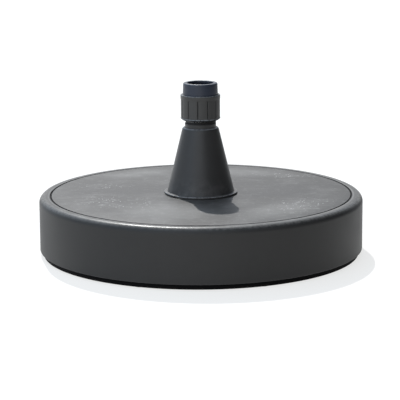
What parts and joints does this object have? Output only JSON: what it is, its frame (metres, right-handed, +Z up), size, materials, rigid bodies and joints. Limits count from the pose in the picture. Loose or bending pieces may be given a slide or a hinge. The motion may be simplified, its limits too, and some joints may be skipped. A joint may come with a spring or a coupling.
{
  "type": "parasol base",
  "caption": "Round ballasted parasol base with a conical pole socket, a fluted clamping nut and a slotted collet on a screw thread.",
  "frame": {"origin": "on the ground at the centre of the disc", "axes": "+Z up along the pole's axis; the base is round, and +X is the direction of the first plate screw"},
  "size_m": [0.5, 0.5, 0.265],
  "materials": {
    "shell_plastic": "semi-matt moulded polyethylene, anthracite",
    "plate_plastic": "matt black moulded polypropylene",
    "concrete": "cast concrete, grey",
    "zinc_steel": "zinc-plated screws",
    "socket_plastic": "satin moulded polypropylene, anthracite",
    "rubber": "black rubber",
    "zinc_washer": "zinc-plated sheet",
    "ring_plastic": "black glass-filled nylon",
    "stop_plastic": "black moulded polypropylene",
    "collet_plastic": "dark grey acetal",
    "collar_plastic": "smooth satin plastic, blue-grey anthracite",
    "nut_plastic": "satin moulded plastic, anthracite"
  },
  "bodies": {
    "base": {"top_shell": "shell_plastic", "base_plate": "plate_plastic", "ballast": "concrete", "plate_screws": "zinc_steel", "socket_cone": "socket_plastic", "flange_gasket": "rubber", "lock_washer": "zinc_washer", "lock_ring": "ring_plastic", "pole_stop": "stop_plastic", "collet": "collet_plastic", "foot_pad_1": "rubber", "foot_pad_2": "rubber", "foot_pad_3": "rubber", "foot_pad_4": "rubber", "foot_pad_5": "rubber", "foot_pad_6": "rubber", "foot_pad_7": "rubber", "foot_pad_8": "rubber"},
    "collar": {"pressure_collar": "collar_plastic"},
    "nut": {"clamping_nut": "nut_plastic"}
  },
  "joints": [
    {"name": "collar_lift", "type": "slide", "parent": "base", "child": "collar", "axis": [0, 0, 1], "range_m": [-0.008, 0.02]},
    {"name": "nut_turn", "type": "hinge", "parent": "collar", "child": "nut", "pos_m": [0, 0, 0.22], "axis": [0, 0, 1], "range_deg": [-720, 1800]}
  ],
  "couplings": [
    {"joint": "collar_lift", "follows": "nut_turn", "m_per_rad": 0.00063662}
  ]
}
